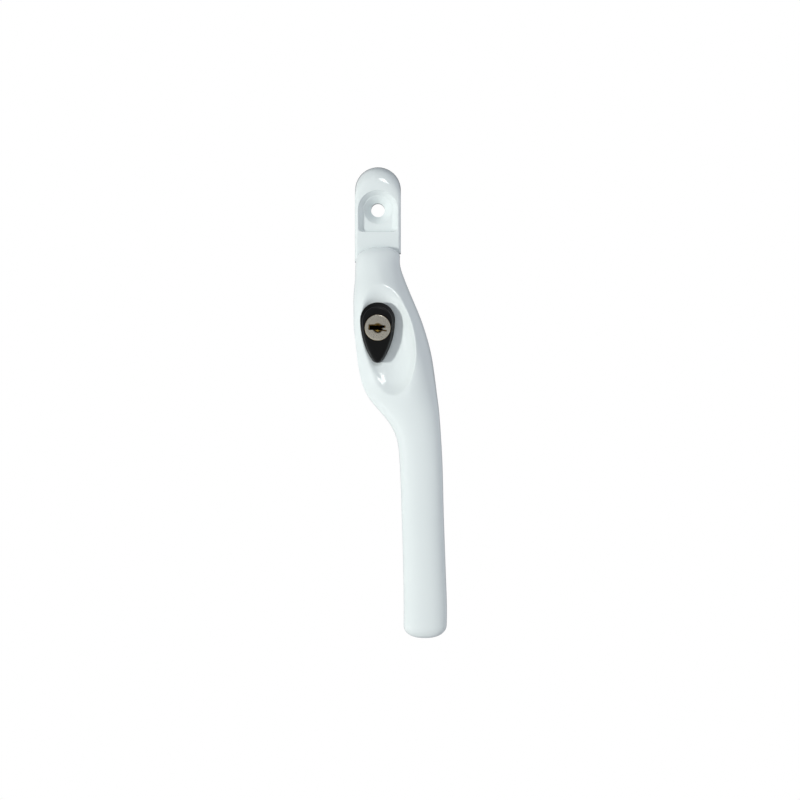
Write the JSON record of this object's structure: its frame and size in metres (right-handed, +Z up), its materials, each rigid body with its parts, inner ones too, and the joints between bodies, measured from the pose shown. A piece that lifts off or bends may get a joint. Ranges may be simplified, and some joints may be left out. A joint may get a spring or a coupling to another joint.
{
  "type": "keyed window lock",
  "caption": "Cranked window handle on a slim screw-fixed plate, with a square spindle behind and a key-released push-button lock in a dished recess.",
  "frame": {"origin": "where the spindle's axis meets the sash face, at the back of the plate", "axes": "+Y along the spindle into the sash, +Z up the plate towards the upper screw, +X to the side that the grip leans to"},
  "size_m": [0.0342, 0.073, 0.1733],
  "materials": {
    "white_coat": "gloss white powder coat with a faint orange peel",
    "black_button": "black, semi-gloss",
    "nickel": "satin nickel plate",
    "brass": "as turned",
    "zinc_plated": "bright zinc plate",
    "spring_steel": "oiled spring steel",
    "nylon": "natural nylon",
    "die_cast": "bare zinc die casting"
  },
  "bodies": {
    "base": {"base_plate": "white_coat", "pivot_bush": "nylon", "thrust_washer": "zinc_plated", "wave_washer": "spring_steel", "index_spring": "spring_steel"},
    "handle": {"lever": "white_coat", "spindle": "zinc_plated", "retaining_ring": "spring_steel", "retainer": "die_cast", "retainer_screw_1": "zinc_plated", "retainer_screw_2": "zinc_plated", "button_spring": "spring_steel"},
    "button": {"lock_button": "black_button", "lock_barrel": "brass", "lock_pin": "zinc_plated"},
    "plug": {"key_plug": "nickel", "lock_cam": "zinc_plated"},
    "wafer_a": {"wafer_1": "brass"},
    "wafer_b": {"wafer_2": "brass"},
    "wafer_c": {"wafer_3": "brass"},
    "wafer_d": {"wafer_4": "brass"}
  },
  "joints": [
    {"name": "lever_turn", "type": "hinge", "parent": "base", "child": "handle", "pos_m": [0, 0, 0], "axis": [0, -1, 0], "range_deg": [0, 90], "deforming": ["index_spring"]},
    {"name": "button_push", "type": "slide", "parent": "handle", "child": "button", "axis": [0, 1, 0], "range_m": [0, 0.0032], "stiffness_N_per_m": 600, "springref_m": -0.004, "deforming": ["button_spring"]},
    {"name": "key_turn", "type": "hinge", "parent": "button", "child": "plug", "pos_m": [0, -0.0255, -0.0226], "axis": [0, 1, 0], "range_deg": [0, 90]},
    {"name": "wafer_1_slide", "type": "slide", "parent": "plug", "child": "wafer_a", "axis": [1, 0, 0], "range_m": [0, 0.0009], "stiffness_N_per_m": 60},
    {"name": "wafer_2_slide", "type": "slide", "parent": "plug", "child": "wafer_b", "axis": [1, 0, 0], "range_m": [0, 0.0009]},
    {"name": "wafer_3_slide", "type": "slide", "parent": "plug", "child": "wafer_c", "axis": [1, 0, 0], "range_m": [0, 0.0009]},
    {"name": "wafer_4_slide", "type": "slide", "parent": "plug", "child": "wafer_d", "axis": [1, 0, 0], "range_m": [0, 0.0009]}
  ],
  "couplings": [
    {"joint": "wafer_2_slide", "follows": "wafer_1_slide", "ratio": 1},
    {"joint": "wafer_3_slide", "follows": "wafer_1_slide", "ratio": 1},
    {"joint": "wafer_4_slide", "follows": "wafer_1_slide", "ratio": 1}
  ]
}
